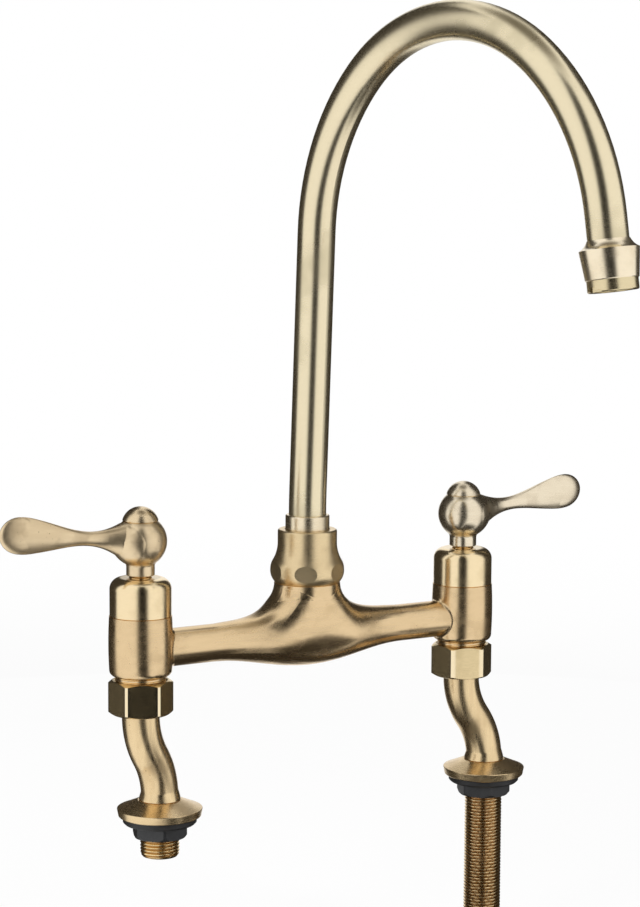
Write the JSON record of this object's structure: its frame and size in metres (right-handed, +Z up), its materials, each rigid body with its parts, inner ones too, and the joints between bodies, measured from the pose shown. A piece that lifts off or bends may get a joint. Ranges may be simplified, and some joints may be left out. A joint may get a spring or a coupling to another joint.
{
  "type": "bridge kitchen faucet",
  "caption": "Deck-mounted bridge kitchen faucet with swivelling swan-neck spout, lever handles and cranked legs with threaded tails, in satin brass.",
  "frame": {"origin": "top of the deck, midway between the axes of the two threaded tails", "axes": "+Z up out of the deck, +X along the bridge towards the right-hand lever, -Y towards the person at the sink"},
  "size_m": [0.3642, 0.2578, 0.5266],
  "materials": {
    "satin_brass": "brushed satin",
    "spout_brass": "brushed satin, slightly darker",
    "lever_brass": "cast and brushed satin",
    "polished_brass": "fine brushed, near polished",
    "bright_brass": "machined, bright",
    "steel": "turned",
    "ceramic": "lapped ceramic, stands in as hard gloss plastic",
    "white_plastic": "moulded",
    "red_fibre": "vulcanised fibre",
    "black_rubber": "moulded",
    "black_plastic": "moulded, slightly glossy"
  },
  "bodies": {
    "bridge": {"bridge_body": "satin_brass", "spout_retaining_nut": "satin_brass", "spout_slip_ring": "white_plastic", "spout_bearing_washer": "white_plastic", "left_valve_cover": "polished_brass", "left_cartridge_body": "bright_brass", "left_cartridge_seal": "red_fibre", "left_fixed_disc": "ceramic", "left_seat_seal": "black_rubber", "left_union_nut": "bright_brass", "left_union_washer": "red_fibre", "right_valve_cover": "polished_brass", "right_cartridge_body": "bright_brass", "right_cartridge_seal": "red_fibre", "right_fixed_disc": "ceramic", "right_seat_seal": "black_rubber", "right_union_nut": "bright_brass", "right_union_washer": "red_fibre"},
    "spout": {"spout_fitting": "satin_brass", "spout_seal_rings": "black_rubber", "spout_tube": "spout_brass", "nozzle_housing": "spout_brass", "aerator_ring": "bright_brass", "aerator_insert": "white_plastic", "aerator_washer": "black_rubber"},
    "left_lever": {"left_lever_handle": "lever_brass", "left_handle_screw": "steel", "left_handle_cap": "lever_brass", "left_spindle": "bright_brass", "left_spindle_seal_rings": "black_rubber", "left_moving_disc": "ceramic"},
    "left_leg": {"left_cranked_leg": "satin_brass", "left_deck_flange": "satin_brass", "left_deck_gasket": "black_rubber"},
    "left_nut": {"left_backnut": "black_plastic"},
    "right_lever": {"right_lever_handle": "lever_brass", "right_handle_screw": "steel", "right_handle_cap": "lever_brass", "right_spindle": "bright_brass", "right_spindle_seal_rings": "black_rubber", "right_moving_disc": "ceramic"},
    "right_leg": {"right_cranked_leg": "satin_brass", "right_deck_flange": "satin_brass", "right_deck_gasket": "black_rubber"},
    "right_nut": {"right_backnut": "black_plastic"}
  },
  "joints": [
    {"name": "spout_swivel", "type": "hinge", "parent": "bridge", "child": "spout", "pos_m": [-0.01339, 0, 0.1142], "axis": [0, 0, 1], "continuous": true},
    {"name": "left_lever_turn", "type": "hinge", "parent": "bridge", "child": "left_lever", "pos_m": [-0.11499, 0, 0.1142], "axis": [0, 0, 1], "range_deg": [0, 90]},
    {"name": "left_leg_swivel", "type": "hinge", "parent": "bridge", "child": "left_leg", "pos_m": [-0.11499, 0, 0.1142], "axis": [0, 0, 1], "continuous": true},
    {"name": "left_backnut_travel", "type": "slide", "parent": "left_leg", "child": "left_nut", "axis": [0, 0, -1], "range_m": [0, 0.01]},
    {"name": "right_lever_turn", "type": "hinge", "parent": "bridge", "child": "right_lever", "pos_m": [0.08821, 0, 0.1142], "axis": [0, 0, 1], "range_deg": [-90, 0]},
    {"name": "right_leg_swivel", "type": "hinge", "parent": "bridge", "child": "right_leg", "pos_m": [0.08821, 0, 0.1142], "axis": [0, 0, 1], "continuous": true},
    {"name": "right_backnut_travel", "type": "slide", "parent": "right_leg", "child": "right_nut", "axis": [0, 0, -1], "range_m": [0, 0.085]}
  ]
}
